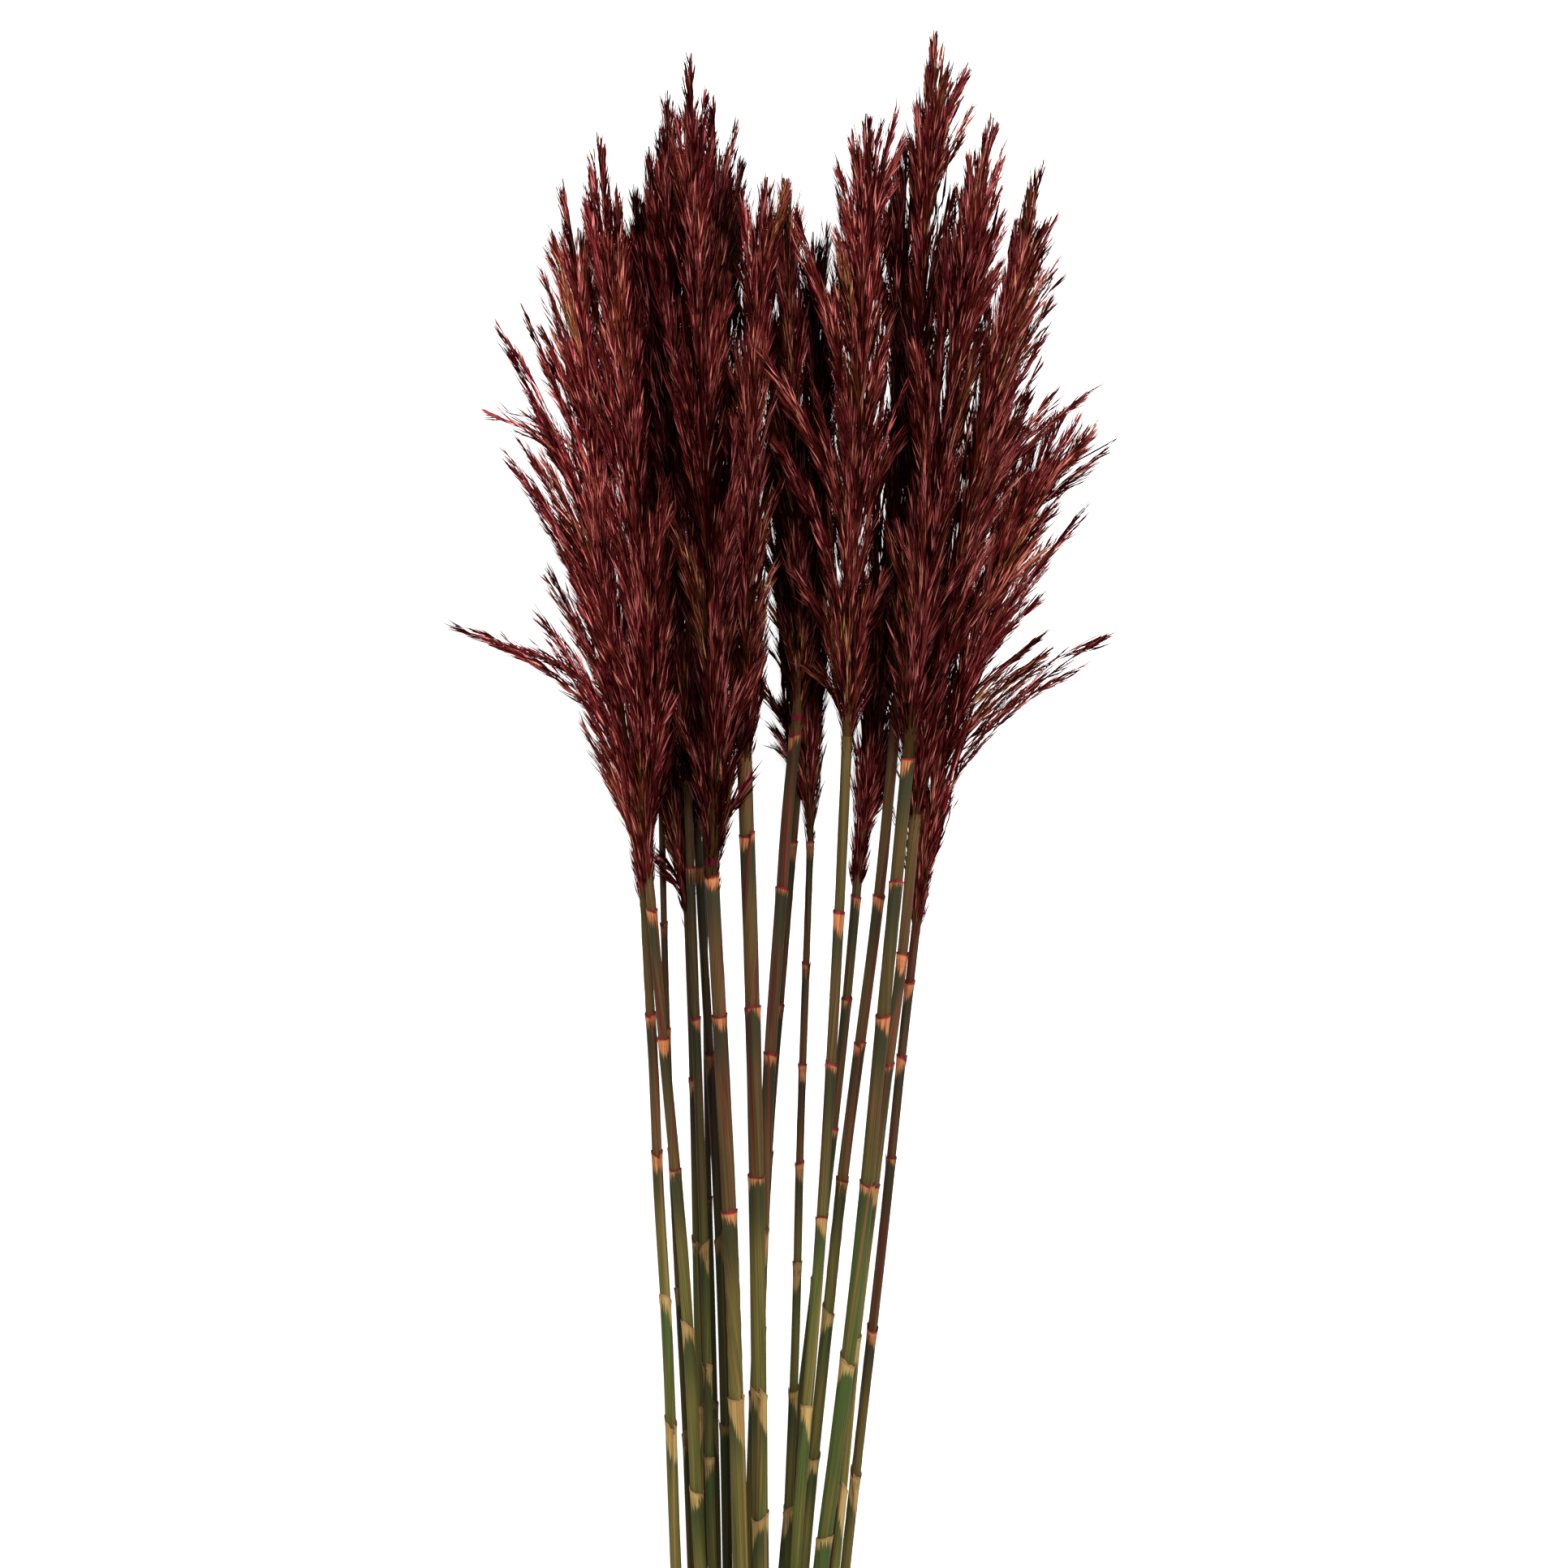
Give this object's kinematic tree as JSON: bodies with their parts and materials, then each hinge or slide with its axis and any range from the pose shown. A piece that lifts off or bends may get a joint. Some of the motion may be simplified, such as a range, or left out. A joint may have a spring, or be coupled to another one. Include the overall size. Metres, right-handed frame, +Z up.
{
  "type": "bunch of reeds",
  "caption": "Loose bunch of cut, dried reeds lying on its side: slender sheathed olive-green culms and feathery wine-red plumes.",
  "frame": {"origin": "middle of the bunch's footprint, on the surface it lies on", "axes": "+Y runs from the cut ends to the tips of the plumes, +X across the bunch and +Z up from the surface"},
  "size_m": [0.2504, 0.7508, 0.0654],
  "materials": {
    "culm": "satin dried culm, olive green with brown-red and straw-yellow zones",
    "plume": "matt papery spikelets, dyed wine red"
  },
  "bodies": {
    "root": {"culm_01": "culm", "culm_02": "culm", "culm_03": "culm", "culm_04": "culm", "culm_05": "culm", "culm_06": "culm", "culm_07": "culm", "culm_08": "culm", "culm_09": "culm", "culm_10": "culm", "culm_11": "culm", "culm_12": "culm", "culm_13": "culm", "culm_14": "culm", "culm_15": "culm", "culm_16": "culm", "culm_17": "culm", "culm_18": "culm", "plume_01": "plume", "plume_02": "plume", "plume_03": "plume", "plume_04": "plume", "plume_05": "plume", "plume_06": "plume", "plume_07": "plume", "plume_08": "plume", "plume_09": "plume", "plume_10": "plume", "plume_11": "plume", "plume_12": "plume", "plume_13": "plume", "plume_14": "plume", "plume_15": "plume", "plume_16": "plume", "plume_17": "plume", "plume_18": "plume"}
  },
  "joints": []
}
